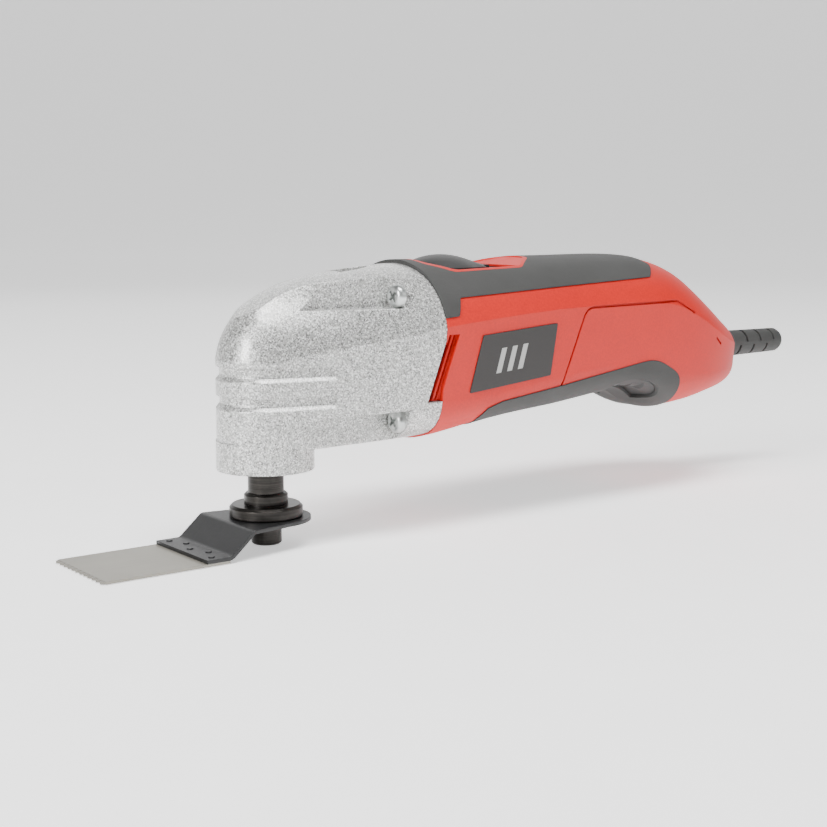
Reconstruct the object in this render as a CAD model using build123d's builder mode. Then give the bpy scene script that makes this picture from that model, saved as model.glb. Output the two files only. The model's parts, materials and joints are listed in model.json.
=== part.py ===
from build123d import *
import os

# Oscillating multi tool. Millimetres, +Z up, +X towards the cord, spindle axis on Z.
# Z = 0 is the underside of the blade and of the clamp screw's head.

# ---------------------------------------------------------------- driving dimensions
MOTOR_Z = 61.5              # height of the motor shaft
ECCENTRICITY = 0.65         # throw of the eccentric pin
JOINT_X = 52.0              # plane where the gear head meets the motor housing
SHELL_START_X = JOINT_X + 0.1

WALL = 2.4                  # wall of the plastic shells
GRIP_DEPTH = 1.0            # how deep an overmould sits in the shell
GRIP_PROUD = 0.35           # how far an overmould stands out of the shell

# Stations of the motor housing: x, top, crease z, crease y, low z, low y, bottom
STATIONS = (
    (46.0, 91.0, 69.6, 29.6, 45.1, 27.1, 31.2),
    (58.0, 91.0, 70.6, 29.5, 45.1, 27.0, 31.3),
    (72.0, 91.0, 71.8, 29.2, 45.8, 26.8, 33.7),
    (90.0, 91.0, 73.0, 28.7, 47.6, 26.6, 35.8),
    (110.0, 91.0, 73.9, 28.2, 50.0, 26.4, 37.1),
    (128.0, 91.0, 74.0, 27.9, 51.5, 26.2, 39.1),
    (144.0, 91.0, 74.0, 27.7, 50.4, 26.0, 40.4),
    (151.0, 90.8, 73.9, 27.6, 48.8, 25.9, 39.6),
    (157.0, 90.4, 73.4, 27.5, 47.6, 25.8, 37.0),
    (163.0, 89.6, 72.6, 27.3, 46.8, 25.6, 33.4),
    (174.0, 86.4, 69.0, 26.6, 45.8, 25.0, 32.0),
    (184.0, 80.4, 64.4, 25.4, 45.2, 24.0, 33.3),
    (194.0, 73.6, 59.8, 23.2, 45.0, 22.0, 35.4),
    (203.0, 67.6, 56.6, 19.8, 45.0, 18.8, 37.0),
    (210.5, 63.4, 54.8, 15.4, 45.4, 14.6, 38.8),
    (216.0, 60.2, 53.6, 10.6, 46.0, 10.0, 41.0),
    (219.6, 57.6, 52.6, 6.4, 47.0, 6.0, 43.4),
)
TAIL_X = 190.0              # behind this station an inset also shortens the housing

# Gear head
NOSE_R = 15.7
BOSS_OUT_R = 16.0
HEAD_HALF_WIDTH = 29.5      # at the joint
HEAD_FLOOR_Z = 30.6
BOSS_FLOOR_Z = 25.0
# Walls that lean in above the ridge: height, nose radius, half width at the joint
LEANING_WALLS = (
    (29.0, 23.0, 39.8), (46.0, 19.3, 35.5), (62.0, 15.5, 31.5), (70.0, 12.8, 29.5),
    (77.0, 8.2, 27.8), (84.0, 3.6, 26.0), (94.0, 1.0, 23.5),
)
GROOVE_DEPTH = 1.2
GROOVE_END_X = 15.0
GROOVES = ((54.4, 58.8), (45.3, 49.4))
GROOVE_FLARE = 1.5
BORE_R = 24.0               # motor-side bore of the head
BORE_START_X = 41.0
POCKET_WALL_X = 39.5        # face that the housing screws clamp
SCREW_Y = 20.0
SCREW_ZS = (39.2, 80.2)

# Spindle line
SPINDLE_R = 6.0
FLANGE_R = 12.0
FLANGE_Z = (9.1, 13.3)
COLLAR_R = 7.2
LOWER_BEARING = (6.03, 14.0, 27.0, 35.0)    # bore radius, outer radius, z from, z to
UPPER_BEARING = (3.53, 9.5, 65.0, 71.0)
PLATE_T = 1.2               # sheet of the blade bracket
BLADE_T = 0.8
BLADE_WIDTH = 34.0
BLADE_TIP_X = -66.5
TEETH = 12
CLAMP_HEAD_R = 5.0

# Armature line
FRONT_BEARING = (4.0, 11.0, 44.0, 51.0)     # bore radius, outer radius, x from, x to
REAR_BEARING = (3.5, 9.5, 142.0, 148.0)
ECCENTRIC_BEARING = (2.5, 8.0, 24.0, 29.0)
SLEEVE_R = 11.5
CORE_X = (84.0, 120.0)
ARMATURE_R = 13.2
STATOR_IN_R = 13.8
STATOR_OUT_R = 21.5
STATOR_HALF_HEIGHT = 20.2   # flats above and below
SLOTS = 12
COMMUTATOR = (9.5, 126.0, 138.0)            # radius, x from, x to
FAN = (21.0, 56.0, 65.5)                   # radius, x from, x to
BRUSH_X = 132.0

# Switch
SWITCH_TRAVEL = 5.0
BAY_FLOOR_Z = 86.8
RIM = 1.3                   # raised edge round the switch bay
ROD_TOP_Z = 85.0
ROD_HALF_WIDTH = 3.0
# Stations of the thumb hump: x, half width, edge height, crest height
HUMP_STATIONS = (
    (60.2, 5.2, 88.0, 89.2), (62.6, 9.0, 88.2, 90.9), (66.0, 11.8, 88.3, 92.0),
    (70.0, 12.8, 88.3, 92.6), (75.0, 12.2, 88.3, 92.5), (80.0, 9.8, 88.2, 91.6),
    (85.0, 7.2, 88.1, 90.2), (88.5, 5.6, 88.0, 89.2),
)

# Cord exit
CORD_Z = 52.6
CORD_BORE_R = 3.6
RELIEF_R = 5.5
RELIEF_START_X = 205.0
EXIT_X = 219.6              # where the boot leaves the shells
RELIEF_END_X = 254.0

# Shell screws along Y: x, z
SHELL_SCREWS = ((72.6, 44.2), (154.0, 55.6), (183.0, 69.0), (192.0, 43.6))
BOSS_R = 3.4
PILOT_R = 1.6
CLEARANCE_R = 1.9
COUNTERBORE_R = 3.6
SCREW_SEAT_Y = 16.0

os.makedirs("parts", exist_ok=True)


def save(part, name):
    """Label one sub-part and write it to its own STEP file."""
    part.label = name
    export_step(part, f"parts/{name}.step")


def along_x(radius, start, end, z=MOTOR_Z, y=0.0):
    """A cylinder along X between two x values."""
    with BuildPart(mode=Mode.PRIVATE) as rod:
        with BuildSketch(Plane.YZ.offset(start)):
            with Locations((y, z)):
                Circle(radius)
        extrude(amount=end - start)
    return rod.part


def along_y(radius, start, end, x, z):
    """A cylinder along Y between two y values."""
    with BuildPart(mode=Mode.PRIVATE) as rod:
        with BuildSketch(Plane.XZ.offset(-end)):
            with Locations((x, z)):
                Circle(radius)
        extrude(amount=end - start)
    return rod.part


def ring_x(bore_r, outer_r, start, end, z=MOTOR_Z):
    """A plain ring about an axis along X."""
    with BuildPart() as ring:
        with BuildSketch(Plane.YZ.offset(start)):
            with Locations((0, z)):
                Circle(outer_r)
                Circle(bore_r, mode=Mode.SUBTRACT)
        extrude(amount=end - start)
    return ring.part


def block(x_range, y_range, z_range):
    """A box given by its limits."""
    ranges = (x_range, y_range, z_range)
    with BuildPart(mode=Mode.PRIVATE) as box:
        with Locations(tuple((low + high) / 2 for low, high in ranges)):
            Box(*[high - low for low, high in ranges])
    return box.part


def side_prism(points, y_range, corner=0.0):
    """A prism along Y whose XZ outline is a polygon, with all corners rounded if asked."""
    with BuildPart(mode=Mode.PRIVATE) as prism:
        with BuildSketch(Plane.XZ.offset(-y_range[1])) as outline:
            with BuildLine():
                Polyline(*points, close=True)
            make_face()
            if corner:
                fillet(outline.vertices(), corner)
        extrude(amount=y_range[1] - y_range[0])
    return prism.part


def mirrored(part):
    """The same piece on the tool's left side."""
    return mirror(part, about=Plane.XZ)


# ---------------------------------------------------------------- motor housing shape
def half_section(station, inset, whole=False):
    """Outline of the housing at one station, its +Y half or both halves."""
    _, top, crease_z, crease_y, low_z, low_y, bottom = station
    roof = top - inset
    floor = bottom + inset
    side_y = crease_y - inset
    heel_y = low_y - inset
    shoulder = (0.483 * side_y, roof - 0.133 * (roof - crease_z))
    heel = (0.646 * heel_y, floor + 0.155 * (low_z - floor))
    with BuildLine() as outline:
        crown = TangentArc((0, roof), shoulder, tangent=(1, 0))
        TangentArc(shoulder, (side_y, crease_z), tangent=crown % 1)
        side = Line((side_y, crease_z), (heel_y, low_z))
        corner = TangentArc((heel_y, low_z), heel, tangent=side % 1)
        TangentArc(heel, (0, floor), tangent=corner % 1)
        if whole:
            mirror(about=Plane.YZ)
        else:
            Line((0, floor), (0, roof))
    return outline


def half_housing(inset, start_x):
    """The +Y half of the housing's outer shape, drawn in by an inset."""
    with BuildPart() as body:
        for station in STATIONS:
            tail = max(0.0, station[0] - TAIL_X) / (STATIONS[-1][0] - TAIL_X)
            with BuildSketch(Plane.YZ.offset(station[0] - inset * tail)):
                add(half_section(station, inset).line)
                make_face()
        loft()
        add(block((start_x, 230), (-1, 40), (20, 100)), mode=Mode.INTERSECT)
    return body.part


def slab(part, x_from, x_to):
    """The slice of a solid between two x values."""
    return part & block((x_from, x_to), (-40, 40), (20, 100))


OUTER = half_housing(0.0, SHELL_START_X)
SKIN = half_housing(-GRIP_PROUD, SHELL_START_X)
SEAT = half_housing(GRIP_DEPTH, STATIONS[0][0])
CAVITY = half_housing(WALL, STATIONS[0][0])

RIGHT_SIDE = (15.0, 35.0)   # y range of side cutters on the +Y half
FULL_HALF = (0.0, 35.0)

# ---------------------------------------------------------------- side outlines (x, z)
TOP_GRIP_OUTLINE = (
    (50.0, 72.8), (57.7, 73.4), (60.2, 79.2), (105.0, 81.2), (154.0, 83.1),
    (160.5, 87.4), (160.5, 95.0), (50.0, 95.0),
)
NAME_PLATE_OUTLINE = ((67.9, 66.5), (102.2, 68.9), (100.3, 50.6), (63.4, 47.1))
VENT_FRONT = ((46.3, 45.6), (53.1, 67.5))   # slanted front edge of the exhaust vent
VENT_DEPTH = 4.6                            # its width along X
VENT_RECESS = 0.8                           # how far it sits below the overmould seat
LOUVRE_CENTRE = (146.5, 39.2)
LOUVRE_RADII = (13.5, 6.3)
LOUVRE_Y = (8.0, 35.0)
GROOVE_WIDTH = 0.8                          # panel groove


def vent_outline(start, end, grow=0.0):
    """The exhaust vent's slanted outline between two fractions of its width."""
    (low_x, low_z), (high_x, high_z) = VENT_FRONT
    front = start * VENT_DEPTH - grow
    back = end * VENT_DEPTH + grow
    return (
        (low_x + front, low_z - grow), (low_x + back, low_z - grow),
        (high_x + back, high_z + grow), (high_x + front, high_z + grow),
    )


def belly_grip_prism():
    """Side outline of the overmould under the belly, as a prism on the +Y half."""
    with BuildPart() as prism:
        with BuildSketch(Plane.XZ.offset(-FULL_HALF[1])):
            with BuildLine():
                front = Polyline(
                    (169.0, 24.0), (69.0, 24.0), (70.4, 37.5), (73.0, 41.0),
                    (79.0, 43.0), (108.0, 46.5), (144.0, 51.6),
                )
                tail = Spline(
                    front @ 1, (155.0, 52.0), (163.5, 48.4), (169.0, 38.0),
                    tangents=(front % 1, (0, -1)),
                )
                Line(tail @ 1, front @ 0)
            make_face()
        extrude(amount=FULL_HALF[1])
    return prism.part


def intake_opening():
    """The oval intake in the belly grip, open to the underside, on the +Y half."""
    inner_y, outer_y = LOUVRE_Y
    with BuildPart() as prism:
        with BuildSketch(Plane.XZ.offset(-outer_y)):
            with Locations(LOUVRE_CENTRE):
                Ellipse(*LOUVRE_RADII, rotation=-6)
        extrude(amount=outer_y - inner_y)
    return prism.part


def island_prism(inset):
    """Plan outline of the switch bay, drawn in by an inset: blunt front, round back."""
    half = 17.4 - inset
    front_x = 56.4 + inset
    end_x = 107.2 - inset
    with BuildPart() as prism:
        with BuildSketch(Plane.XY.offset(BAY_FLOOR_Z)) as outline:
            with BuildLine():
                Polyline(
                    (front_x, 0), (front_x + 0.4, half - 7.4), (front_x + 8.2, half),
                    (96.0, half - 1.2), (end_x, half - 11.0), (end_x, 0), close=True,
                )
            make_face()
            fillet(outline.vertices().filter_by(lambda v: v.Y > 1), 5.0)
        extrude(amount=10)
    return prism.part


def panel_groove():
    """The styling groove that frames the rear side panel, and its short lower end."""
    with BuildPart() as groove:
        with BuildSketch(Plane.XZ.offset(-RIGHT_SIDE[1])):
            with BuildLine() as path:
                FilletPolyline(
                    (106.0, 45.0), (116.5, 73.6), (164.0, 74.0), (174.5, 69.0), radius=5,
                )
            trace(path.line, line_width=GROOVE_WIDTH)
            with BuildLine() as lower_end:
                Line((189.8, 58.6), (193.8, 55.8))
            trace(lower_end.line, line_width=GROOVE_WIDTH)
        extrude(amount=RIGHT_SIDE[1] - RIGHT_SIDE[0])
        add(SEAT, mode=Mode.SUBTRACT)
    return groove.part


BELLY_PRISM = belly_grip_prism()
ISLAND = island_prism(0.0)
SWITCH_BAY = island_prism(RIM)
INTAKE = intake_opening()

# ---------------------------------------------------------------- overmoulds and plates
with BuildPart() as top_grip:
    add(SKIN)
    add(SEAT, mode=Mode.SUBTRACT)
    add(side_prism(TOP_GRIP_OUTLINE, FULL_HALF, 0.8), mode=Mode.INTERSECT)
    add(ISLAND, mode=Mode.SUBTRACT)

with BuildPart() as belly_grip:
    add(SKIN)
    add(SEAT, mode=Mode.SUBTRACT)
    add(BELLY_PRISM, mode=Mode.INTERSECT)
    add(INTAKE, mode=Mode.SUBTRACT)

with BuildPart() as intake_louvre:
    add(SEAT)
    add(CAVITY, mode=Mode.SUBTRACT)
    add(INTAKE, mode=Mode.INTERSECT)
    with BuildSketch(Plane.XZ.offset(-LOUVRE_Y[1])):
        for slat in range(4):
            with Locations((139.0 + 4.9 * slat, 39.6)):
                Rectangle(2.2, 9.6, rotation=42)
    extrude(amount=LOUVRE_Y[1] - LOUVRE_Y[0], mode=Mode.SUBTRACT)

with BuildPart() as name_plate:
    add(SKIN)
    add(OUTER, mode=Mode.SUBTRACT)
    add(side_prism(NAME_PLATE_OUTLINE, RIGHT_SIDE, 0.5), mode=Mode.INTERSECT)


# ---------------------------------------------------------------- shells
def housing_half():
    """The +Y shell with everything both halves share."""
    with BuildPart() as shell:
        add(OUTER)
        add(CAVITY, mode=Mode.SUBTRACT)
        # tray under the switch bay
        add(CAVITY & block((53.5, 108.5), (0, 17.4), (ROD_TOP_Z + 0.3, 92.0)))
        # ribs round the stator and the wall that holds the rear bearing
        for rib_x in (CORE_X[0] + 4, CORE_X[1] - 6):
            add(slab(CAVITY, rib_x, rib_x + 2) - along_x(STATOR_OUT_R, rib_x, rib_x + 2))
        add(slab(CAVITY, 142.0, 148.0) - along_x(SLEEVE_R, 142.0, 148.0))
        add(block((140, 150), (0, 3.8), (83.0, 89.0)), mode=Mode.SUBTRACT)
        add(block((140, 150), (13.0, 19.0), (66.0, 78.0)), mode=Mode.SUBTRACT)
        add(block((80, 125), (0, 3.8), (82.0, ROD_TOP_Z + 0.3)), mode=Mode.SUBTRACT)
        # bosses for the four housing screws
        for screw_z in SCREW_ZS:
            add(along_x(BOSS_R, SHELL_START_X, 64, screw_z, SCREW_Y))
            add(along_x(PILOT_R, 50, 63, screw_z, SCREW_Y), mode=Mode.SUBTRACT)
        # bosses for the shell screws
        for x, z in SHELL_SCREWS:
            add(along_y(BOSS_R + 0.8, 0, 35, x, z) & OUTER)
        # pads that hold the brush holders
        pad = block((127, 137), (20.0, 35), (56.0, 67.0)) & CAVITY
        add(pad - block((128.4, 135.6), (10, 22.1), (57.9, 65.1)))
        # cord exit: a rib behind the boot's flange, and the hole
        add(slab(CAVITY, RELIEF_START_X - 3.2, RELIEF_START_X - 0.1))
        add(slab(CAVITY, RELIEF_START_X + 2.1, RELIEF_START_X + 5.0))
        add(along_x(RELIEF_R + 0.1, 200, 230, CORD_Z), mode=Mode.SUBTRACT)
        # exhaust vent: a sunk grille that reaches into the notch of the gear head
        sunk = Pos(0, -VENT_RECESS, 0) * SEAT
        grille = sunk - Pos(0, -VENT_RECESS, 0) * CAVITY
        add(side_prism(vent_outline(0, 1), RIGHT_SIDE) - sunk, mode=Mode.SUBTRACT)
        add(grille & side_prism(vent_outline(0.05, 1.35, 0.0), RIGHT_SIDE))
        for start, end in ((0.12, 0.58), (0.7, 0.95)):
            add(side_prism(vent_outline(start, end, -0.2), RIGHT_SIDE), mode=Mode.SUBTRACT)
        # switch bay with its raised rim, its ramp, and the pocket under the ramp
        add((SKIN & ISLAND) - SWITCH_BAY)
        bay_outline = (
            (54.0, 89.2), (59.6, BAY_FLOOR_Z), (96.2, BAY_FLOOR_Z), (96.2, 88.5),
            (107.5, 91.4), (107.5, 98.0), (54.0, 98.0),
        )
        add(SWITCH_BAY & side_prism(bay_outline, FULL_HALF), mode=Mode.SUBTRACT)
        add(block((95.0, 98.4 + SWITCH_TRAVEL), (0, 8.8), (BAY_FLOOR_Z, 87.75)), mode=Mode.SUBTRACT)
        add(block((70.4, 84.6), (0, 3.6), (84, 90)), mode=Mode.SUBTRACT)
        # seats of the overmoulds, the intake opening and the panel groove
        add(top_grip.part, mode=Mode.SUBTRACT)
        add(belly_grip.part, mode=Mode.SUBTRACT)
        add(INTAKE, mode=Mode.SUBTRACT)
        add(panel_groove(), mode=Mode.SUBTRACT)
        # small lifting slot in the underside behind the belly grip
        add(block((193.8, 200.4), (11.5, 15.5), (28, 40.0)), mode=Mode.SUBTRACT)
    return shell.part


HALF_SHELL = housing_half()

with BuildPart() as right_shell:
    add(HALF_SHELL)
    for x, z in SHELL_SCREWS:
        add(along_y(CLEARANCE_R, -1, 35, x, z), mode=Mode.SUBTRACT)
        add(along_y(COUNTERBORE_R, SCREW_SEAT_Y, 35, x, z), mode=Mode.SUBTRACT)

with BuildPart() as left_shell:
    add(mirrored(HALF_SHELL))
    for x, z in SHELL_SCREWS:
        add(along_y(PILOT_R, -13, 1, x, z), mode=Mode.SUBTRACT)

for piece, right_name, left_name in (
    (top_grip.part, "right_top_grip", "left_top_grip"),
    (belly_grip.part, "right_belly_grip", "left_belly_grip"),
    (intake_louvre.part, "right_intake_louvre", "left_intake_louvre"),
    (name_plate.part, "rating_plate", "name_plate"),
):
    save(mirrored(piece), left_name)
    save(piece, right_name)
save(right_shell.part, "right_shell")
save(left_shell.part, "left_shell")


# ---------------------------------------------------------------- gear head
def nose_hull(height, nose_r, rear_half):
    """Plan outline of the head: a round nose joined by tangents to the joint's width."""
    with BuildSketch(Plane.XY.offset(height)) as plan:
        with BuildLine():
            CenterArc((0, 0), nose_r, 90, 180)
            Line((JOINT_X, -rear_half), (JOINT_X, rear_half))
        make_hull()
    return plan.sketch


def upright_hull(inset, low_z, high_z):
    """The head's upright walls between two heights."""
    with BuildPart() as walls:
        add(nose_hull(low_z, NOSE_R - inset, HEAD_HALF_WIDTH - inset))
        extrude(amount=high_z - low_z)
    return walls.part


def leaning_hull():
    """The walls that lean in above the ridge and roll over at the nose."""
    with BuildPart() as walls:
        for height, nose_r, rear_half in LEANING_WALLS:
            add(nose_hull(height, nose_r, rear_half))
        loft()
    return walls.part


def head_envelope():
    """The head's roof and floor, lofted along X over both halves."""
    with BuildPart() as envelope:
        for station in HEAD_STATIONS:
            with BuildSketch(Plane.YZ.offset(station[0])):
                add(half_section(station, 0.0, whole=True).line)
                make_face()
        loft()
    return envelope.part


def top_scoop():
    """The pointed scoop in the head's top, deep in front and rising to the back."""
    with BuildPart() as scoop:
        with BuildSketch(Plane.XY.offset(80)):
            with BuildLine():
                Polyline((27, -4.5), (27, 4.5), (36, 3.6), (43, 0), (36, -3.6), close=True)
            make_face()
        extrude(amount=15)
        add(side_prism(SCOOP_OUTLINE, (-6, 6)), mode=Mode.INTERSECT)
    return scoop.part


def upper_pocket():
    """The recess beside the head's top that leads to the upper screw."""
    with BuildPart() as pocket:
        with BuildSketch(Plane.XY.offset(UPPER_POCKET_Z)):
            with BuildLine():
                Polyline((5.5, 11.5), (13.0, 10.6), (POCKET_WALL_X, 15.3), (POCKET_WALL_X, 35),
                         (5.5, 35), close=True)
            make_face()
        extrude(amount=20)
    return pocket.part


def groove_cutter(low_z, high_z):
    """A groove round the nose: a sharp step above and a flared edge below."""
    flare_z = low_z + GROOVE_FLARE
    with BuildPart() as core:
        add(nose_hull(low_z, NOSE_R, HEAD_HALF_WIDTH))
        add(nose_hull(flare_z, NOSE_R - GROOVE_DEPTH, HEAD_HALF_WIDTH - GROOVE_DEPTH))
        loft(ruled=True)
        add(upright_hull(GROOVE_DEPTH, flare_z, high_z))
    with BuildPart() as cutter:
        add(upright_hull(-2.0, low_z, high_z))
        add(core.part, mode=Mode.SUBTRACT)
        add(block((-30, GROOVE_END_X), (-40, 40), (low_z, high_z)), mode=Mode.INTERSECT)
    return cutter.part


HEAD_STATIONS = (
    (-20.0, 68.0, 62.0, 29.6, 45.1, 27.1, 30.6),
    (-6.0, 77.2, 63.5, 29.6, 45.1, 27.1, 30.6),
    (6.0, 83.4, 65.0, 29.6, 45.1, 27.1, 30.7),
    (18.0, 86.8, 66.5, 29.6, 45.1, 27.1, 30.8),
    (34.0, 88.8, 68.2, 29.6, 45.1, 27.1, 30.9),
    (JOINT_X, 90.1, 70.1, 29.55, 45.1, 27.05, 31.4),
)

UPPER_POCKET_Z = 76.4
LOWER_POCKET = (
    (-8.0, 24.0), (-8.0, 34.0), (0.0, 39.8), (10.0, 42.0), (POCKET_WALL_X, 43.2),
    (POCKET_WALL_X, 24.0),
)
LOWER_POCKET_Y = 16.2
SCOOP_OUTLINE = ((27, 83.6), (43, 89.2), (43, 96), (27, 96))

with BuildPart() as gear_housing:
    add(upright_hull(0.0, HEAD_FLOOR_Z, 93.0))
    add(leaning_hull(), mode=Mode.INTERSECT)
    add(head_envelope(), mode=Mode.INTERSECT)
    with BuildSketch(Plane.XY.offset(BOSS_FLOOR_Z)):
        Circle(BOSS_OUT_R)
    extrude(amount=HEAD_FLOOR_Z + 4 - BOSS_FLOOR_Z)
    for low_z, high_z in GROOVES:
        add(groove_cutter(low_z, high_z), mode=Mode.SUBTRACT)
    for pocket in (upper_pocket(), side_prism(LOWER_POCKET, (LOWER_POCKET_Y, 35))):
        add(pocket, mode=Mode.SUBTRACT)
        add(mirrored(pocket), mode=Mode.SUBTRACT)
    # notch for the exhaust grille on each side
    notch = side_prism(vent_outline(-0.05, 4.0, 0.2), (BORE_R - 2, 35))
    add(notch, mode=Mode.SUBTRACT)
    add(mirrored(notch), mode=Mode.SUBTRACT)
    # scoop with a hanging slot in the top
    add(top_scoop(), mode=Mode.SUBTRACT)
    add(block((27.0, 31.5), (-3.4, 3.4), (80.0, 90)), mode=Mode.SUBTRACT)
    # motor-side bore, gear channel and the spindle's bearing seats
    add(along_x(BORE_R, BORE_START_X, JOINT_X + 1), mode=Mode.SUBTRACT)
    add(block((5, 15), (-15, 15), (50, 67)), mode=Mode.SUBTRACT)
    add(block((14, BORE_START_X + 1), (-15, 15), (50, 71.5)), mode=Mode.SUBTRACT)
    for radius, low_z, high_z in (
        (LOWER_BEARING[1], LOWER_BEARING[2], LOWER_BEARING[3]),
        (12.5, LOWER_BEARING[3], 64.0),
        (UPPER_BEARING[1], 64.0, UPPER_BEARING[3]),
        (7.0, UPPER_BEARING[3], 72.5),
        (9.5, BOSS_FLOOR_Z, LOWER_BEARING[2]),
    ):
        with BuildSketch(Plane.XY.offset(low_z)):
            Circle(radius)
        extrude(amount=high_z - low_z, mode=Mode.SUBTRACT)
    for side in (-1, 1):
        for screw_z in SCREW_ZS:
            add(along_x(2.1, 30, JOINT_X + 1, screw_z, side * SCREW_Y), mode=Mode.SUBTRACT)

save(gear_housing.part, "gear_housing")


def pan_screw(head_r, head_h, shank_r, length):
    """A pan head screw with a cross recess, its head above Z = 0 and shank below."""
    with BuildPart() as screw:
        with BuildSketch(Plane.XZ):
            with BuildLine():
                Line((0, 0), (head_r, 0))
                Line((head_r, 0), (head_r, 0.35 * head_h))
                ThreePointArc(
                    (head_r, 0.35 * head_h), (0.9 * head_r, 0.78 * head_h),
                    (0.62 * head_r, head_h),
                )
                Polyline((0.62 * head_r, head_h), (0, head_h), (0, 0))
            make_face()
        revolve(axis=Axis.Z)
        with BuildSketch():
            Circle(shank_r)
        extrude(amount=-length)
        chamfer(screw.faces().sort_by(Axis.Z)[0].edges(), 0.5 * shank_r)
        with BuildSketch(Plane.XY.offset(head_h)):
            Rectangle(1.1 * head_r, 0.26 * head_r, rotation=40)
            Rectangle(1.1 * head_r, 0.26 * head_r, rotation=130)
        extrude(amount=-0.6 * head_h, mode=Mode.SUBTRACT)
    return screw.part


def placed(part, origin, outward):
    """A piece made along +Z, set at a point with its +Z turned to a direction."""
    return Plane(origin=origin, z_dir=outward).location * part


HOUSING_SCREW = pan_screw(3.9, 2.8, PILOT_R - 0.02, 22.0)
with BuildPart() as housing_screws:
    for side in (-1, 1):
        for screw_z in SCREW_ZS:
            add(placed(HOUSING_SCREW, (POCKET_WALL_X, side * SCREW_Y, screw_z), (-1, 0, 0)))
save(housing_screws.part, "housing_screws")

SHELL_SCREW = pan_screw(3.3, 2.4, PILOT_R - 0.02, 28.0)
with BuildPart() as shell_screws:
    for x, z in SHELL_SCREWS:
        add(placed(SHELL_SCREW, (x, SCREW_SEAT_Y, z), (0, 1, 0)))
save(shell_screws.part, "shell_screws")


# ---------------------------------------------------------------- spindle line
def turned_z(outline):
    """A turned piece about the spindle axis from its (radius, z) outline."""
    with BuildPart() as turned:
        with BuildSketch(Plane.XZ):
            with BuildLine():
                Polyline(*outline, close=True)
            make_face()
        revolve(axis=Axis.Z)
    return turned.part


def turned_x(outline):
    """A turned piece about the motor axis from its (x, radius) outline."""
    with BuildPart() as turned:
        with BuildSketch(Plane.XZ):
            with BuildLine():
                Polyline(*[(x, MOTOR_Z + radius) for x, radius in outline], close=True)
            make_face()
        revolve(axis=Axis((0, 0, MOTOR_Z), (1, 0, 0)))
    return turned.part


THREAD_R = 3.0
SPINDLE_OUTLINE = (
    (THREAD_R, 8.0), (5.0, 8.0), (5.0, FLANGE_Z[0]), (FLANGE_R - 0.4, FLANGE_Z[0]),
    (FLANGE_R, FLANGE_Z[0] + 0.4), (FLANGE_R, FLANGE_Z[1] - 0.9),
    (FLANGE_R - 0.9, FLANGE_Z[1]), (COLLAR_R, FLANGE_Z[1]), (COLLAR_R, 16.4),
    (COLLAR_R - 0.7, 17.1), (SPINDLE_R - 0.1, 17.1), (SPINDLE_R - 0.1, 26.0),
    (SPINDLE_R, 26.2), (SPINDLE_R, 64.2), (3.5, 64.2), (3.5, 71.2), (0, 71.2),
    (0, 30.0), (THREAD_R, 30.0),
)
save(turned_z(SPINDLE_OUTLINE), "spindle")


def ring_z(bore_r, outer_r, low_z, high_z):
    """Outline of a plain ring about the spindle axis, with small broken edges."""
    edge = 0.3
    return (
        (bore_r, low_z), (outer_r - edge, low_z), (outer_r, low_z + edge),
        (outer_r, high_z - edge), (outer_r - edge, high_z), (bore_r, high_z),
    )


def ball_bearing_outline(bore_r, outer_r, start, end):
    """Half outline of a bearing with a shallow shield groove on each face."""
    step = 0.5
    inner = bore_r + 0.25 * (outer_r - bore_r)
    outer = outer_r - 0.2 * (outer_r - bore_r)
    return (
        (start, bore_r), (start, inner), (start + step, inner), (start + step, outer),
        (start, outer), (start, outer_r), (end, outer_r), (end, outer),
        (end - step, outer), (end - step, inner), (end, inner), (end, bore_r),
    )


for bearing, name in (
    (LOWER_BEARING, "spindle_lower_bearing"), (UPPER_BEARING, "spindle_upper_bearing"),
):
    bore_r, outer_r, low_z, high_z = bearing
    outline = ball_bearing_outline(bore_r, outer_r, low_z, high_z)
    save(turned_z([(radius, z) for z, radius in outline]), name)
save(turned_z(ring_z(SPINDLE_R + 0.05, 9.5, BOSS_FLOOR_Z + 0.3, 26.9)), "spindle_seal")
save(turned_z(ring_z(THREAD_R + 0.1, 5.4, 6.3, 7.9)), "clamp_washer")

with BuildPart() as clamp_screw:
    with BuildSketch():
        Circle(CLAMP_HEAD_R)
    extrude(amount=6.3)
    chamfer(clamp_screw.faces().sort_by(Axis.Z)[0].edges(), 0.5)
    with BuildSketch():
        RegularPolygon(2.5, 6, major_radius=False)
    extrude(amount=3.2, mode=Mode.SUBTRACT)
    with BuildSketch(Plane.XY.offset(6.3)):
        Circle(THREAD_R - 0.02)
    extrude(amount=20)
save(clamp_screw.part, "clamp_screw")

FORK_Z = (57.5, 65.5)
with BuildPart() as rocker_fork:
    with BuildSketch(Plane.XY.offset(53.0)):
        Circle(10.0)
    extrude(amount=10.0)
    for side in (-1, 1):
        with BuildSketch(Plane.XY.offset(FORK_Z[0])):
            with BuildLine():
                Polyline((2, side * 6.5), (12, side * 10), (31, side * 10),
                         (31, side * 13.4), (12, side * 13.4), (0, side * 9.0), close=True)
            make_face()
        extrude(amount=63.0 - FORK_Z[0])
        with BuildSketch(Plane.XY.offset(63.0)):
            with Locations((23.0, side * 11.7)):
                Rectangle(16.0, 3.4)
        extrude(amount=FORK_Z[1] - 63.0)
    with BuildSketch(Plane.XY.offset(50.0)):
        Circle(SPINDLE_R)
    extrude(amount=20.0, mode=Mode.SUBTRACT)
save(rocker_fork.part, "rocker_fork")

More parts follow.
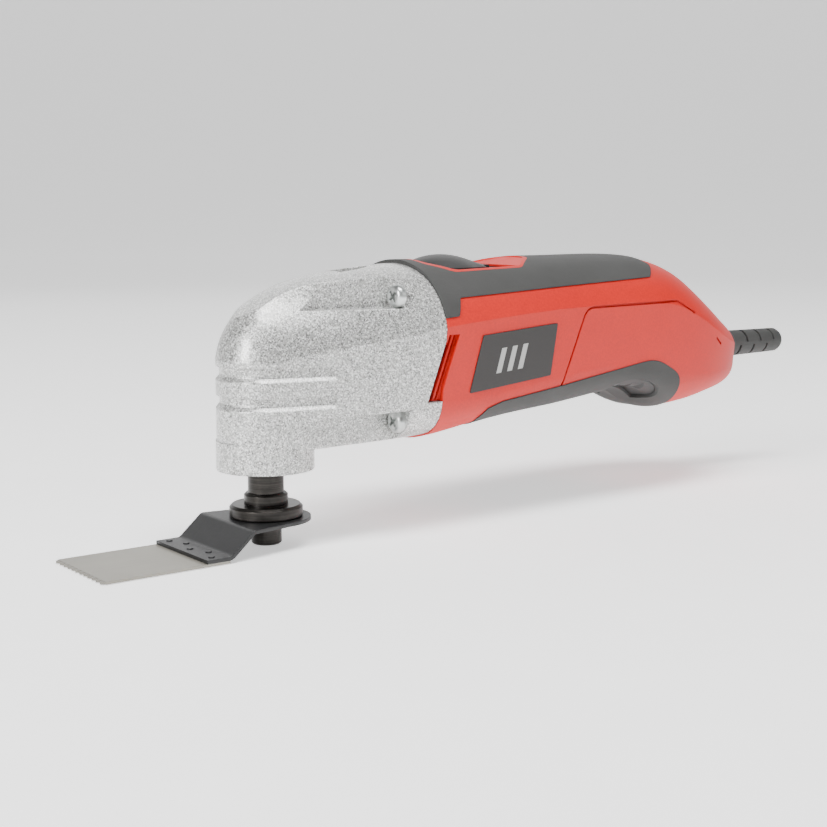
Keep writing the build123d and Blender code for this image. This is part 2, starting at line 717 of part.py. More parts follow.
# ---------------------------------------------------------------- blade and bracket
LOWER_FLAT_TOP = BLADE_T + PLATE_T
UPPER_FLAT_TOP = FLANGE_Z[0]
BRACKET_PATH = (
    (-31.4, LOWER_FLAT_TOP), (-23.0, LOWER_FLAT_TOP), (-14.8, UPPER_FLAT_TOP),
    (16.0, UPPER_FLAT_TOP),
)
with BuildPart() as blade_bracket:
    with BuildSketch(Plane.XZ.offset(-BLADE_WIDTH / 2)):
        with BuildLine() as path:
            FilletPolyline(*BRACKET_PATH, radius=2.0)
            offset(amount=PLATE_T, side=Side.RIGHT)
        make_face()
    extrude(amount=BLADE_WIDTH)
    with BuildSketch() as plan:
        with BuildLine():
            CenterArc((0, 0), 14.6, -90, 180)
            Polyline((0, 14.6), (-14.0, BLADE_WIDTH / 2), (-31.4, BLADE_WIDTH / 2),
                     (-31.4, -BLADE_WIDTH / 2), (-14.0, -BLADE_WIDTH / 2), (0, -14.6))
        make_face()
    extrude(amount=12, mode=Mode.INTERSECT)
    with BuildSketch():
        Circle(5.05)
    extrude(amount=12, mode=Mode.SUBTRACT)
save(blade_bracket.part, "blade_bracket")

RIVETS = ((-28.3, 0.0), (-28.3, 13.8), (-28.3, -13.8), (-25.7, 7.3), (-25.7, -7.3))
with BuildPart() as blade_rivets:
    with BuildSketch(Plane.XY.offset(LOWER_FLAT_TOP)):
        with Locations(*RIVETS):
            Circle(1.1)
    extrude(amount=0.35, taper=25)
save(blade_rivets.part, "blade_rivets")

with BuildPart() as saw_blade:
    with BuildSketch():
        with BuildLine():
            pitch = BLADE_WIDTH / TEETH
            points = [(-23.4, BLADE_WIDTH / 2)]
            for tooth in range(TEETH):
                y = BLADE_WIDTH / 2 - tooth * pitch
                points.append((BLADE_TIP_X + 1.6, y))
                points.append((BLADE_TIP_X, y - pitch / 2))
            points.append((BLADE_TIP_X + 1.6, -BLADE_WIDTH / 2))
            points.append((-23.4, -BLADE_WIDTH / 2))
            Polyline(*points, close=True)
        make_face()
    extrude(amount=BLADE_T)
save(saw_blade.part, "saw_blade")

# ---------------------------------------------------------------- armature line
ROD_END_X = 150.0
with BuildPart() as armature_shaft:
    add(along_x(4.0, 32.0, 139.0))
    add(along_x(3.5, 139.0, ROD_END_X))
    add(along_x(2.5, 22.5, 32.0, MOTOR_Z + ECCENTRICITY))
save(armature_shaft.part, "armature_shaft")

for bearing, name in (
    (FRONT_BEARING, "front_armature_bearing"), (REAR_BEARING, "rear_armature_bearing"),
):
    bore_r, outer_r, start, end = bearing
    save(turned_x(ball_bearing_outline(bore_r + 0.03, outer_r, start, end)), name)

bore_r, outer_r, start, end = ECCENTRIC_BEARING
eccentric = turned_x(ball_bearing_outline(bore_r, outer_r, start, end))
save(Pos(0, 0, ECCENTRICITY) * eccentric, "eccentric_bearing")

save(ring_x(REAR_BEARING[1], SLEEVE_R, 142.0, 148.0), "bearing_sleeve")

with BuildPart() as bearing_plate:
    add(along_x(BORE_R, 42.0, 51.0))
    add(along_x(FRONT_BEARING[1], FRONT_BEARING[2], 52.0), mode=Mode.SUBTRACT)
    add(along_x(8.0, 41.0, 45.0), mode=Mode.SUBTRACT)
    with BuildSketch(Plane.YZ.offset(41.0)):
        with Locations((0, MOTOR_Z)):
            with PolarLocations(17.5, 6):
                Circle(3.2)
    extrude(amount=12, mode=Mode.SUBTRACT)
save(bearing_plate.part, "bearing_plate")

with BuildPart() as counterweight:
    add(along_x(8.5, 34.0, 39.0))
    add(block((30, 45), (-10, 10), (MOTOR_Z + 1.5, MOTOR_Z + 12)) - along_x(5.8, 34, 39),
        mode=Mode.SUBTRACT)
    add(along_x(4.0, 30, 45), mode=Mode.SUBTRACT)
save(counterweight.part, "counterweight")

with BuildPart() as cooling_fan:
    fan_r, fan_start, fan_end = FAN
    add(along_x(fan_r, fan_start, fan_start + 1.4))
    add(along_x(7.0, fan_start, fan_end))
    with BuildSketch(Plane.YZ.offset(fan_start)):
        with Locations((0, MOTOR_Z)):
            with PolarLocations(13.5, SLOTS):
                Rectangle(14.0, 1.1)
    extrude(amount=fan_end - 1 - fan_start)
    add(along_x(4.0, fan_start - 1, fan_end + 1), mode=Mode.SUBTRACT)
save(cooling_fan.part, "cooling_fan")

with BuildPart() as armature_core:
    add(along_x(ARMATURE_R, *CORE_X))
    with BuildSketch(Plane.YZ.offset(CORE_X[0])):
        with Locations((0, MOTOR_Z)):
            with PolarLocations(ARMATURE_R - 2.5, SLOTS):
                Rectangle(6.0, 1.8)
    extrude(amount=CORE_X[1] - CORE_X[0], mode=Mode.SUBTRACT)
    add(along_x(4.0, CORE_X[0] - 1, CORE_X[1] + 1), mode=Mode.SUBTRACT)
save(armature_core.part, "armature_core")


def end_turns(start, end):
    """One end of the armature winding: a rounded ring round the shaft."""
    with BuildPart() as turns:
        with BuildSketch(Plane.XZ):
            with Locations(((start + end) / 2, MOTOR_Z + 7.9)):
                RectangleRounded(end - start, 7.6, 2.4)
        revolve(axis=Axis((0, 0, MOTOR_Z), (1, 0, 0)))
    return turns.part


with BuildPart() as armature_windings:
    add(end_turns(CORE_X[0] - 7, CORE_X[0]))
    add(end_turns(CORE_X[1], CORE_X[1] + 5))
save(armature_windings.part, "armature_windings")

with BuildPart() as commutator:
    commutator_r, commutator_start, commutator_end = COMMUTATOR
    add(ring_x(4.0, commutator_r, commutator_start, commutator_end))
    with BuildSketch(Plane.YZ.offset(commutator_start)):
        with Locations((0, MOTOR_Z)):
            with PolarLocations(commutator_r, 2 * SLOTS):
                Rectangle(1.2, 0.4)
    extrude(amount=commutator_end - commutator_start, mode=Mode.SUBTRACT)
save(commutator.part, "commutator")

SHOE_R = 15.3
YOKE_R = 18.4
POLE_HALF = 5.0
with BuildPart() as stator_core:
    with BuildSketch(Plane.YZ.offset(CORE_X[0])):
        with Locations((0, MOTOR_Z)):
            Circle(STATOR_OUT_R)
            Rectangle(2 * STATOR_OUT_R, 2 * STATOR_HALF_HEIGHT, mode=Mode.INTERSECT)
            Circle(YOKE_R, mode=Mode.SUBTRACT)
            Rectangle(2 * POLE_HALF, 2 * YOKE_R + 1)
            Circle(STATOR_IN_R, mode=Mode.SUBTRACT)
    extrude(amount=CORE_X[1] - CORE_X[0])
save(stator_core.part, "stator_core")


def stator_coil():
    """One field coil: a saddle round the upper pole."""
    start, end = CORE_X[0] - 4.5, CORE_X[1] + 4.5
    with BuildPart() as coil:
        add(ring_x(SHOE_R + 0.1, YOKE_R - 0.1, start, end))
        add(block((start, end), (-11, 11), (MOTOR_Z + 8, MOTOR_Z + 20)), mode=Mode.INTERSECT)
        add(block((CORE_X[0] - 0.2, CORE_X[1] + 0.2), (-POLE_HALF - 0.1, POLE_HALF + 0.1),
                  (MOTOR_Z, MOTOR_Z + 20)), mode=Mode.SUBTRACT)
    return coil.part


with BuildPart() as stator_coils:
    add(stator_coil())
    add(stator_coil().rotate(Axis((0, 0, MOTOR_Z), (1, 0, 0)), 180))
save(stator_coils.part, "stator_coils")

BAFFLE_X = 67.0
with BuildPart() as air_baffle:
    add(slab(CAVITY, BAFFLE_X, BAFFLE_X + 1.6))
    add(mirrored(slab(CAVITY, BAFFLE_X, BAFFLE_X + 1.6)))
    add(along_x(14.5, BAFFLE_X - 1, BAFFLE_X + 3), mode=Mode.SUBTRACT)
    add(along_y(BOSS_R + 1.0, -35, 35, *SHELL_SCREWS[0]), mode=Mode.SUBTRACT)
    add(block((60, 75), (-4, 4), (83.0, 90)), mode=Mode.SUBTRACT)
    add(block((60, 75), (-17.7, 17.7), (ROD_TOP_Z + 0.1, 90)), mode=Mode.SUBTRACT)
save(air_baffle.part, "air_baffle")

# ---------------------------------------------------------------- brush gear
with BuildPart() as brush_holders:
    for side in (-1, 1):
        low, high = sorted((side * 10.4, side * 22.0))
        add(block((128.5, 135.5), (low, high), (58.0, 65.0)))
        low, high = sorted((side * 10.0, side * 21.4))
        add(block((129.4, 134.6), (low, high), (58.9, 64.1)), mode=Mode.SUBTRACT)
save(brush_holders.part, "brush_holders")

with BuildPart() as carbon_brushes:
    for side in (-1, 1):
        low, high = sorted((side * 9.9, side * 16.4))
        add(block((129.5, 134.5), (low, high), (59.0, 64.0)))
save(carbon_brushes.part, "carbon_brushes")


def brush_spring():
    """A small compression spring, drawn as a bellows of five turns, along +Y."""
    pitch = 1.0
    turns = 5
    outer = [(2.2 if step % 2 else 1.7, step * pitch / 2) for step in range(2 * turns - 1)]
    inner = [(radius - 0.4, y) for radius, y in reversed(outer)]
    with BuildPart() as spring:
        with BuildSketch(Plane.XY):
            with BuildLine():
                Polyline(*outer, *inner, close=True)
            make_face()
        revolve(axis=Axis.Y)
    return spring.part


with BuildPart() as brush_springs:
    add(Pos(BRUSH_X, 16.6, MOTOR_Z) * brush_spring())
    add(mirrored(Pos(BRUSH_X, 16.6, MOTOR_Z) * brush_spring()))
save(brush_springs.part, "brush_springs")

# ---------------------------------------------------------------- switch
def thumb_hump():
    """The domed hump of the slider, lofted along X."""
    with BuildPart() as hump:
        for x, half, edge_z, crest_z in HUMP_STATIONS:
            with BuildSketch(Plane.YZ.offset(x)):
                with BuildLine():
                    ThreePointArc((-half, edge_z), (0, crest_z), (half, edge_z))
                    Polyline((half, edge_z), (half, COVER_Z[0]), (-half, COVER_Z[0]),
                             (-half, edge_z))
                make_face()
        loft()
    return hump.part


COVER_Z = (BAY_FLOOR_Z + 0.08, BAY_FLOOR_Z + 0.8)
with BuildPart() as switch_slider:
    add(thumb_hump())
    add(block((60.4, 89.0), (-14.4, 14.4), COVER_Z))
    fillet(switch_slider.edges().filter_by(Axis.Z).filter_by(lambda e: abs(e.center().Y) > 14),
           8.0)
    add(block((88.0, 98.0), (-8.5, 8.5), COVER_Z))
    add(block((84.0, 91.0), (-4.2, 4.2), (COVER_Z[0], 88.7)))
    add(block((71.0, 79.0), (-3.0, 3.0), (ROD_TOP_Z, BAY_FLOOR_Z + 0.5)))
save(switch_slider.part, "switch_slider")

with BuildPart() as switch_rod:
    add(block((70.0, 160.0), (-ROD_HALF_WIDTH, ROD_HALF_WIDTH), (ROD_TOP_Z - 1.6, ROD_TOP_Z)))
    add(block((157.0, 159.6), (-1.6, 1.6), (72.0, 84.0)))
save(switch_rod.part, "switch_rod")

with BuildPart() as electric_switch:
    add(block((152.5, 174.0), (-8.5, 8.5), (60.0, 76.0)))
    fillet(electric_switch.edges().filter_by(Axis.Z), 1.0)
    add(block((155.5, 167.0), (-2.2, 2.2), (70.0, 80.0)), mode=Mode.SUBTRACT)
    for y in (-4.0, 4.0):
        add(block((174.0, 178.0), (y - 2.5, y + 2.5), (66, 66.8)))
save(electric_switch.part, "electric_switch")

# ---------------------------------------------------------------- wiring and cord exit
with BuildPart() as suppression_capacitor:
    add(block((162.0, 180.0), (-6.0, 6.0), (43.0, 55.0)))
    fillet(suppression_capacitor.edges(), 0.8)
save(suppression_capacitor.part, "suppression_capacitor")

with BuildPart() as terminal_block:
    add(block((182.0, 193.0), (-9.0, 9.0), (54.0, 62.0)))
    for y in (-4.5, 4.5):
        add(along_x(1.6, 181, 194, 57.5, y), mode=Mode.SUBTRACT)
        with BuildSketch(Plane.XY.offset(62.0)):
            with Locations((185.0, y), (190.0, y)):
                Circle(1.5)
        extrude(amount=-3.0, mode=Mode.SUBTRACT)
save(terminal_block.part, "terminal_block")

CLAMP_X = 197.4
with BuildPart() as cord_clamp:
    add(block((CLAMP_X - 3.0, CLAMP_X + 3.0), (-12.0, 12.0), (CORD_Z + 1.5, CORD_Z + 5.5)))
    add(along_x(CORD_BORE_R + 0.1, 190, 205, CORD_Z), mode=Mode.SUBTRACT)
    with BuildSketch(Plane.XY.offset(CORD_Z)):
        with Locations((CLAMP_X, -8.5), (CLAMP_X, 8.5)):
            Circle(PILOT_R)
    extrude(amount=10, mode=Mode.SUBTRACT)
save(cord_clamp.part, "cord_clamp")

CLAMP_SCREW = pan_screw(2.9, 2.0, PILOT_R - 0.02, 10.0)
with BuildPart() as cord_clamp_screws:
    for y in (-8.5, 8.5):
        add(placed(CLAMP_SCREW, (CLAMP_X, y, CORD_Z + 5.5), (0, 0, 1)))
save(cord_clamp_screws.part, "cord_clamp_screws")

with BuildPart() as strain_relief:
    with BuildSketch(Plane.XZ):
        with BuildLine():
            Polyline(
                (RELIEF_START_X, CORD_Z), (RELIEF_START_X, CORD_Z + 7.6),
                (RELIEF_START_X + 2.0, CORD_Z + 7.6),
                (RELIEF_START_X + 2.0, CORD_Z + RELIEF_R), (EXIT_X + 0.2, CORD_Z + RELIEF_R),
                (EXIT_X + 0.2, CORD_Z + 6.6), (EXIT_X + 1.6, CORD_Z + 6.4),
                (EXIT_X + 3.6, CORD_Z + 5.3), (RELIEF_END_X - 1.5, CORD_Z + 4.9),
                (RELIEF_END_X, CORD_Z + 4.2),
                (RELIEF_END_X, CORD_Z), close=True,
            )
        make_face()
    revolve(axis=Axis((0, 0, CORD_Z), (1, 0, 0)))
    add(along_x(CORD_BORE_R, 200, 260, CORD_Z), mode=Mode.SUBTRACT)
    for index in range(6):
        x = 226.0 + 4.2 * index
        z_range = (CORD_Z + 0.6, CORD_Z + 8) if index % 2 else (CORD_Z - 8, CORD_Z - 0.6)
        add(block((x, x + 1.3), (-8, 8), z_range) - along_x(4.4, 225, 260, CORD_Z),
            mode=Mode.SUBTRACT)
save(strain_relief.part, "strain_relief")
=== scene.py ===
import json
import math

import bmesh
import bpy
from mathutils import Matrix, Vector


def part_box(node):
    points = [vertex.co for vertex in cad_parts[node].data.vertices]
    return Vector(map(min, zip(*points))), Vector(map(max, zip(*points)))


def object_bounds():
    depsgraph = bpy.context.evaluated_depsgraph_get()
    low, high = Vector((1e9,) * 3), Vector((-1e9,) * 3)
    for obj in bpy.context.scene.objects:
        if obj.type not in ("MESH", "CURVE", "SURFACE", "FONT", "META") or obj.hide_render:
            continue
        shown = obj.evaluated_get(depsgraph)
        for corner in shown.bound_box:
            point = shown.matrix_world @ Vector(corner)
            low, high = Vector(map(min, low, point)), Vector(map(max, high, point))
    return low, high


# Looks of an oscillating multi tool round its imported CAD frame. Metres, the row's frame:
# +X to the cord, +Z up, the spindle on Z, the blade's underside at Z = 0.
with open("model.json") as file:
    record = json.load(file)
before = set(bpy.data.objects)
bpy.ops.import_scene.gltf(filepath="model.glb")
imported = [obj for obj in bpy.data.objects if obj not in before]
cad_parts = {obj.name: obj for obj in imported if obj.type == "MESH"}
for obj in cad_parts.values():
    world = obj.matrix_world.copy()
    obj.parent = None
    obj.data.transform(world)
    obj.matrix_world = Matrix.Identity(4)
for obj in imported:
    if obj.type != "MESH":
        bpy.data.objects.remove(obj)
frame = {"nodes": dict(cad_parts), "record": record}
CAD_LOW, CAD_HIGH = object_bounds()

MM = 0.001
WHITE = (1.0, 1.0, 1.0, 1.0)

# Camera: front left of the tool, a little above it
CAMERA_AZIMUTH = math.radians(37.2)
CAMERA_ELEVATION = math.radians(8.3)
CAMERA_PLACE = Vector((-0.2426, -0.3993, 0.1106))
CAMERA_LENS = 63.1            # focal length and sensor width in millimetres
SENSOR = 36.0
CLIP_START = 0.01

BEVEL_SAMPLES = 4
MIX_COLOURS = (6, 7)          # a Mix node's two colour inputs and its colour output
MIX_RESULT = 2

# Saw blade: the strip at its tip where the teeth are cut
TOOTHED_END = 1.5 * MM

# Name plate pattern: three slanted bars that follow the plate's slope
BAR_OFFSETS = (-6.0 * MM, -1.2 * MM, 3.6 * MM)
BAR_HALF_WIDTH = 1.1 * MM
BAR_HALF_HEIGHT = 4.2 * MM
BAR_SLANT = 0.23
PLATE_SLOPE = 0.085

# Stage: a floor from FLOOR_NEAR to FLOOR_FAR that curves up into a wall
FLOOR_NEAR = -3.0
FLOOR_FAR = 2.5
FLOOR_HALF_WIDTH = 5.0
FLOOR_GAP = 0.0003            # below the lowest point of the tool
CURVE_RADIUS = 1.2
CURVE_STEPS = 12
WALL_TOP = 5.0
STAGE_GLOW = 0.75

# Lights: name, place, size and power of each softbox, all aimed at one point
LIGHT_TARGET = (0.09, 0.0, 0.06)
SOFTBOXES = (
    ("key", (-1.05, -0.2, 0.5), (0.3, 0.6), 15.0),
    ("front", (0.75, -1.0, 0.6), (0.7, 0.5), 1.6),
    ("top", (0.0, -0.35, 1.2), (0.9, 0.4), 21.0),
    ("back", (0.5, 1.0, 0.7), (1.2, 0.8), 2.0),
)
WORLD_STRENGTH = 0.05


def srgb(red, green, blue):
    """Linear colour with alpha from 0-255 display values."""
    def linear(value):
        value /= 255.0
        return value / 12.92 if value <= 0.04045 else ((value + 0.055) / 1.055) ** 2.4
    return (linear(red), linear(green), linear(blue), 1.0)


# ---------------------------------------------------------------- node helpers
class Shader:
    """A small builder for one procedural material on a Principled BSDF."""

    def __init__(self, name):
        self.material = bpy.data.materials.new(name)
        self.material.use_nodes = True
        self.nodes = self.material.node_tree.nodes
        self.links = self.material.node_tree.links
        self.bsdf = self.nodes["Principled BSDF"]
        self.place = self.nodes.new("ShaderNodeTexCoord").outputs["Object"]

    def set(self, **values):
        """Set the shader's own sockets; an underscore stands for a space."""
        for key, value in values.items():
            self.bsdf.inputs[key.replace("_", " ")].default_value = value

    def link(self, output, socket):
        """Feed a socket of the shader from a node's output."""
        self.links.new(output, self.bsdf.inputs[socket])

    def stretched(self, scale):
        """The object's coordinates scaled per axis, for brushed or turned marks."""
        mapping = self.nodes.new("ShaderNodeMapping")
        mapping.inputs["Scale"].default_value = scale
        self.links.new(self.place, mapping.inputs["Vector"])
        return mapping.outputs["Vector"]

    def noise(self, scale, detail=3.0, rough=0.55, place=None):
        """Fractal noise from 0 to 1, in the object's own coordinates by default."""
        node = self.nodes.new("ShaderNodeTexNoise")
        node.inputs["Scale"].default_value = scale
        node.inputs["Detail"].default_value = detail
        node.inputs["Roughness"].default_value = rough
        self.links.new(place or self.place, node.inputs["Vector"])
        return node.outputs["Fac"]

    def cells(self, scale):
        """A random value for each cell of a Voronoi pattern."""
        node = self.nodes.new("ShaderNodeTexVoronoi")
        node.inputs["Scale"].default_value = scale
        self.links.new(self.place, node.inputs["Vector"])
        return node.outputs["Color"]

    def split(self):
        """The object's coordinates as separate X, Y and Z outputs."""
        node = self.nodes.new("ShaderNodeSeparateXYZ")
        self.links.new(self.place, node.inputs[0])
        return node.outputs

    def ramp(self, factor, *stops):
        """A colour ramp: stops are (position, colour)."""
        node = self.nodes.new("ShaderNodeValToRGB")
        elements = node.color_ramp.elements
        while len(elements) < len(stops):
            elements.new(0.5)
        for element, (position, colour) in zip(elements, stops):
            element.position = position
            element.color = colour
        self.links.new(factor, node.inputs["Fac"])
        return node.outputs["Color"]

    def spread(self, factor, low, high):
        """Map a 0-1 factor to a range."""
        node = self.nodes.new("ShaderNodeMapRange")
        node.inputs["To Min"].default_value = low
        node.inputs["To Max"].default_value = high
        self.links.new(factor, node.inputs["Value"])
        return node.outputs["Result"]

    def mix(self, factor, first, second, blend="MIX"):
        """Blend two colours; each input is a value or a node's output."""
        node = self.nodes.new("ShaderNodeMix")
        node.data_type = "RGBA"
        node.blend_type = blend
        sockets = (node.inputs[0], *(node.inputs[index] for index in MIX_COLOURS))
        for socket, value in zip(sockets, (factor, first, second)):
            if isinstance(value, (int, float, tuple)):
                socket.default_value = value
            else:
                self.links.new(value, socket)
        return node.outputs[MIX_RESULT]

    def maths(self, operation, first, second=0.0):
        """One arithmetic step on values or node outputs."""
        node = self.nodes.new("ShaderNodeMath")
        node.operation = operation
        for socket, value in zip(node.inputs, (first, second)):
            if isinstance(value, (int, float)):
                socket.default_value = value
            else:
                self.links.new(value, socket)
        return node.outputs[0]

    def bump(self, height, strength, distance, edge=0.35 * MM):
        """Surface relief from a height, over edges softened by a small radius."""
        bevel = self.nodes.new("ShaderNodeBevel")
        bevel.samples = BEVEL_SAMPLES
        bevel.inputs["Radius"].default_value = edge
        node = self.nodes.new("ShaderNodeBump")
        node.inputs["Strength"].default_value = strength
        node.inputs["Distance"].default_value = distance
        self.links.new(height, node.inputs["Height"])
        self.links.new(bevel.outputs["Normal"], node.inputs["Normal"])
        self.link(node.outputs["Normal"], "Normal")


def cast_silver():
    """Silver hammered paint on a casting: bright flakes over a fine pebbled coat."""
    s = Shader("cast_silver_paint")
    s.set(Metallic=0.5, Coat_Weight=0.6, Coat_Roughness=0.2)
    flake = s.cells(scale=2500.0)
    speckle = s.ramp(flake, (0.12, srgb(120, 120, 118)), (0.38, srgb(180, 180, 178)),
                     (0.60, srgb(206, 206, 204)), (0.82, srgb(255, 255, 254)))
    fine = s.noise(scale=2600.0, detail=2.0)
    shade = s.ramp(fine, (0.34, srgb(228, 228, 227)), (0.66, WHITE))
    s.link(s.mix(1.0, speckle, shade, "MULTIPLY"), "Base Color")
    s.link(s.spread(flake, low=0.26, high=0.5), "Roughness")
    pebble = s.noise(scale=1300.0, detail=2.0, rough=0.5)
    s.bump(pebble, strength=0.5, distance=0.06 * MM, edge=0.8 * MM)
    return s.material


def moulded(name, colour, dark, roughness, grain_scale=1400.0, relief=0.05):
    """A moulded plastic or rubber with a fine spark-eroded texture."""
    s = Shader(name)
    s.set(Roughness=roughness)
    cloud = s.noise(scale=60.0, detail=3.0)
    fine = s.noise(grain_scale, detail=2.0)
    tone = s.ramp(cloud, (0.3, dark), (0.7, colour))
    shade = s.ramp(fine, (0.3, srgb(236, 236, 236)), (0.7, WHITE))
    s.link(s.mix(1.0, tone, shade, "MULTIPLY"), "Base Color")
    s.link(s.spread(fine, roughness - 0.07, roughness + 0.08), "Roughness")
    s.bump(fine, strength=0.35, distance=relief * MM, edge=0.4 * MM)
    return s.material


def turned_steel(name, dark, light, roughness, metallic=0.9, axis_scale=(60, 60, 4200)):
    """Machined steel with fine marks across one axis."""
    s = Shader(name)
    s.set(Metallic=metallic, Roughness=roughness)
    marks = s.noise(scale=1.0, detail=4.0, rough=0.6, place=s.stretched(axis_scale))
    cloud = s.noise(scale=180.0, detail=4.0)
    tone = s.ramp(marks, (0.3, dark), (0.7, light))
    shade = s.ramp(cloud, (0.35, srgb(200, 200, 200)), (0.65, WHITE))
    s.link(s.mix(1.0, tone, shade, "MULTIPLY"), "Base Color")
    s.link(s.spread(cloud, roughness - 0.08, roughness + 0.1), "Roughness")
    s.bump(marks, strength=0.25, distance=0.02 * MM, edge=0.3 * MM)
    return s.material


def blade_steel():
    """Matt ground sheet with fine marks across its width and a darker toothed end."""
    s = Shader("blade_steel")
    s.set(Metallic=0.55)
    marks = s.noise(scale=1.0, detail=3.0, rough=0.6, place=s.stretched((30, 3800, 30)))
    cloud = s.noise(scale=45.0, detail=2.0)
    tone = s.ramp(marks, (0.3, srgb(146, 142, 133)), (0.7, srgb(160, 157, 148)))
    shade = s.ramp(cloud, (0.35, srgb(244, 244, 243)), (0.65, WHITE))
    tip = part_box("saw_blade")[0].x
    toothed = s.maths("LESS_THAN", s.split()["X"], tip + TOOTHED_END)
    s.link(s.mix(toothed, s.mix(1.0, tone, shade, "MULTIPLY"), srgb(128, 125, 118)), "Base Color")
    s.link(s.spread(marks, low=0.4, high=0.5), "Roughness")
    s.bump(marks, strength=0.15, distance=0.02 * MM, edge=0.12 * MM)
    return s.material


def plate_film():
    """Charcoal film with three slanted bars, no lettering."""
    s = Shader("plate_film")
    s.set(Roughness=0.42)
    place = s.split()
    low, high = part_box("name_plate")
    along = s.maths("SUBTRACT", place["X"], (low.x + high.x) / 2)
    height = s.maths("SUBTRACT", place["Z"], (low.z + high.z) / 2)
    slanted = s.maths("SUBTRACT", along, s.maths("MULTIPLY", height, BAR_SLANT))
    rise = s.maths("SUBTRACT", height, s.maths("MULTIPLY", along, PLATE_SLOPE))
    inside = s.maths("LESS_THAN", s.maths("ABSOLUTE", rise), BAR_HALF_HEIGHT)
    bars = 0.0
    for offset in BAR_OFFSETS:
        distance = s.maths("ABSOLUTE", s.maths("SUBTRACT", slanted, offset))
        bars = s.maths("ADD", bars, s.maths("LESS_THAN", distance, BAR_HALF_WIDTH))
    mask = s.maths("MULTIPLY", bars, inside)
    fine = s.noise(scale=1800.0, detail=2.0)
    base = s.ramp(fine, (0.3, srgb(34, 31, 30)), (0.7, srgb(40, 37, 36)))
    s.link(s.mix(mask, base, srgb(176, 176, 174)), "Base Color")
    s.link(s.spread(fine, low=0.36, high=0.5), "Roughness")
    s.bump(fine, strength=0.2, distance=0.02 * MM, edge=0.15 * MM)
    return s.material


def copper_wire():
    """Enamelled copper wire wound side by side."""
    s = Shader("copper_wire")
    s.set(Metallic=0.8, Roughness=0.35)
    turns = s.noise(scale=1.0, detail=2.0, rough=0.5, place=s.stretched((2600, 300, 300)))
    s.link(s.ramp(turns, (0.35, srgb(110, 48, 22)), (0.65, srgb(196, 108, 58))), "Base Color")
    s.bump(turns, strength=0.6, distance=0.2 * MM)
    return s.material


MATERIALS = {
    "cast_silver": cast_silver(),
    "red_plastic": moulded("red_plastic", srgb(214, 26, 8), srgb(209, 23, 7), roughness=0.5),
    "grip_rubber": moulded("grip_rubber", srgb(66, 66, 65), srgb(60, 60, 59), roughness=0.66,
                           grain_scale=1700.0, relief=0.07),
    "black_plastic": moulded("black_plastic", srgb(50, 50, 50), srgb(44, 44, 44),
                             roughness=0.48),
    "plate_film": plate_film(),
    "zinc_steel": turned_steel("zinc_steel", srgb(214, 218, 216), srgb(240, 243, 241),
                               roughness=0.3, metallic=0.85, axis_scale=(500, 500, 500)),
    "dark_steel": turned_steel("dark_steel", srgb(36, 34, 33), srgb(66, 63, 60),
                               roughness=0.3, metallic=0.8, axis_scale=(20, 20, 1800)),
    "bearing_steel": turned_steel("bearing_steel", srgb(160, 160, 162), srgb(205, 205, 207),
                                  roughness=0.25),
    "blade_steel": blade_steel(),
    "bracket_black": moulded("bracket_black", srgb(36, 36, 37), srgb(30, 30, 31),
                             roughness=0.42, grain_scale=900.0, relief=0.03),
    "machined_aluminium": turned_steel("machined_aluminium", srgb(178, 178, 180),
                                       srgb(214, 214, 216), roughness=0.34),
    "core_steel": turned_steel("core_steel", srgb(92, 92, 96), srgb(140, 140, 144),
                               roughness=0.4, metallic=0.8, axis_scale=(3000, 60, 60)),
    "copper": copper_wire(),
    "brass": turned_steel("brass", srgb(168, 134, 70), srgb(206, 172, 104),
                          roughness=0.3, metallic=1.0, axis_scale=(600, 600, 600)),
    "carbon": moulded("carbon", srgb(52, 52, 54), srgb(40, 40, 42), roughness=0.55),
    "white_nylon": moulded("white_nylon", srgb(222, 220, 212), srgb(214, 211, 202),
                           roughness=0.5),
}

# ---------------------------------------------------------------- CAD nodes
# The spot welds are blackened together with the bracket
OTHER_MATERIAL = {"blade_rivets": "bracket_black"}


def dress(node, slot):
    """Give one CAD node its material."""
    slots = frame["nodes"][node].data.materials
    slots.clear()
    slots.append(MATERIALS[slot])


for subpart in frame["record"]["subparts"]:
    dress(subpart["node"], OTHER_MATERIAL.get(subpart["node"], subpart["material_slot"]))

# ---------------------------------------------------------------- stage, light, camera


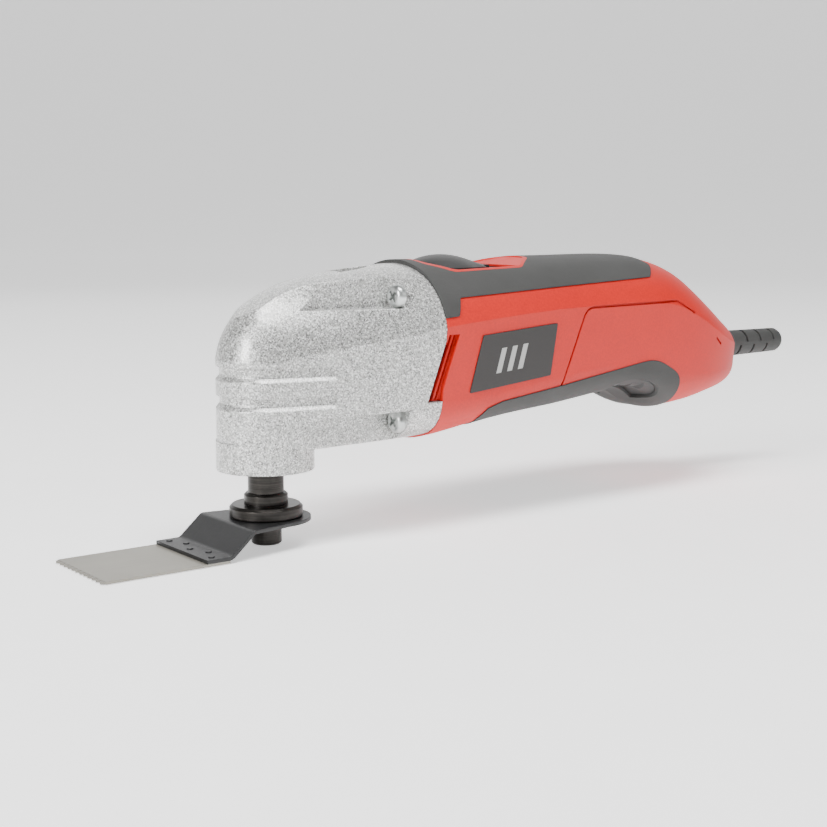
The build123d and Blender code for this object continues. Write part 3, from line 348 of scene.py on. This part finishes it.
def floor_and_backdrop():
    """A pale floor that curves up into a backdrop far behind the tool."""
    mesh = bpy.data.meshes.new("stage")
    bm = bmesh.new()
    forward = Vector((math.sin(CAMERA_AZIMUTH), math.cos(CAMERA_AZIMUTH), 0))
    side = Vector((forward.y, -forward.x, 0))
    profile = [(FLOOR_NEAR, 0.0), (FLOOR_FAR, 0.0)]
    for step in range(1, CURVE_STEPS + 1):
        angle = step / CURVE_STEPS * math.pi / 2
        profile.append((FLOOR_FAR + CURVE_RADIUS * math.sin(angle),
                        CURVE_RADIUS * (1 - math.cos(angle))))
    profile.append((FLOOR_FAR + CURVE_RADIUS, WALL_TOP))
    rows = []
    for reach, height in profile:
        row = []
        for across in (-FLOOR_HALF_WIDTH, FLOOR_HALF_WIDTH):
            place = forward * reach + side * across
            row.append(bm.verts.new((place.x, place.y, CAD_LOW[2] - FLOOR_GAP + height)))
        rows.append(row)
    for near, far in zip(rows, rows[1:]):
        bm.faces.new((near[0], near[1], far[1], far[0]))
    bm.to_mesh(mesh)
    bm.free()
    for polygon in mesh.polygons:
        polygon.use_smooth = True
    stage = bpy.data.objects.new("stage", mesh)
    bpy.context.scene.collection.objects.link(stage)
    s = Shader("stage_paper")
    s.set(Roughness=0.9, Emission_Color=WHITE, Emission_Strength=STAGE_GLOW)
    fine = s.noise(scale=40.0, detail=2.0)
    s.link(s.ramp(fine, (0.3, srgb(247, 247, 247)), (0.7, srgb(250, 250, 250))), "Base Color")
    mesh.materials.append(s.material)


def softbox(name, place, size, power):
    """A soft area light aimed at the tool."""
    data = bpy.data.lights.new(name, "AREA")
    data.shape = "RECTANGLE"
    data.size, data.size_y = size
    data.energy = power
    light = bpy.data.objects.new(name, data)
    light.location = place
    light.rotation_euler = (Vector(LIGHT_TARGET) - Vector(place)).to_track_quat("-Z", "Y").to_euler()
    bpy.context.scene.collection.objects.link(light)


def studio():
    """The softboxes and a faint white surround."""
    for name, place, size, power in SOFTBOXES:
        softbox(name, place, size, power)
    world = bpy.data.worlds.new("studio")
    world.use_nodes = True
    background = world.node_tree.nodes["Background"]
    background.inputs["Color"].default_value = WHITE
    background.inputs["Strength"].default_value = WORLD_STRENGTH
    bpy.context.scene.world = world


def camera():
    """The camera, level, looking along its azimuth and a little down."""
    data = bpy.data.cameras.new("camera")
    data.lens = CAMERA_LENS
    data.sensor_width = SENSOR
    data.clip_start = CLIP_START
    piece = bpy.data.objects.new("camera", data)
    piece.location = CAMERA_PLACE
    flat = math.cos(CAMERA_ELEVATION)
    forward = Vector((math.sin(CAMERA_AZIMUTH) * flat, math.cos(CAMERA_AZIMUTH) * flat,
                      -math.sin(CAMERA_ELEVATION)))
    piece.rotation_euler = forward.to_track_quat("-Z", "Y").to_euler()
    bpy.context.scene.collection.objects.link(piece)
    bpy.context.scene.camera = piece


floor_and_backdrop()
studio()
camera()
